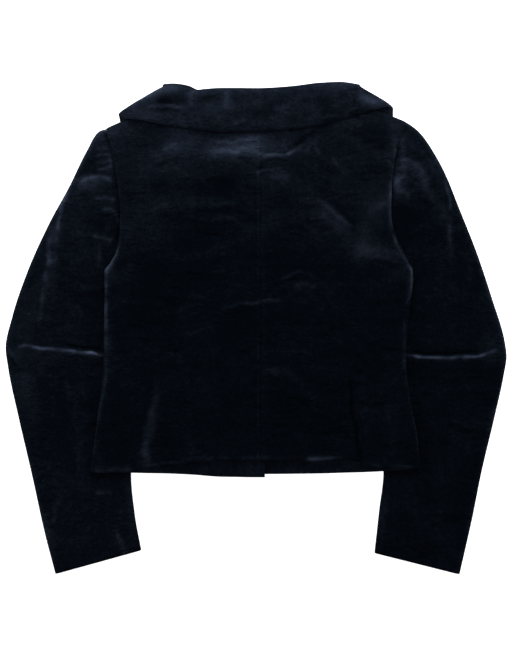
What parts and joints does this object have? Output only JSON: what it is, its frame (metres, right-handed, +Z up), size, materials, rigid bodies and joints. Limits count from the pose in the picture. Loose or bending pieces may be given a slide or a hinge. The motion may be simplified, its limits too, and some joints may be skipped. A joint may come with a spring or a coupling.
{
  "type": "velvet jacket",
  "caption": "Cropped dark velvet jacket laid out flat and face down, back up, with a wide turned-down collar, princess-seamed back and bent sleeves tucked under its sides.",
  "frame": {"origin": "middle of the laid-out jacket's outline, on the surface it lies on", "axes": "+X to the right as seen from above the back, +Y from the hem towards the collar, +Z up from the surface, out of the back"},
  "size_m": [0.6396, 0.6278, 0.0166],
  "materials": {
    "velvet": "short dense pile, near black navy, pale only where it turns away",
    "button": "satin, dark navy"
  },
  "bodies": {
    "root": {"back_centre_left": "velvet", "back_centre_right": "velvet", "back_side_left": "velvet", "back_side_right": "velvet", "front_left": "velvet", "front_right": "velvet", "sleeve_top_left": "velvet", "sleeve_top_right": "velvet", "sleeve_under_left": "velvet", "sleeve_under_right": "velvet", "collar": "velvet", "button_1": "button", "button_2": "button", "button_3": "button"}
  },
  "joints": []
}
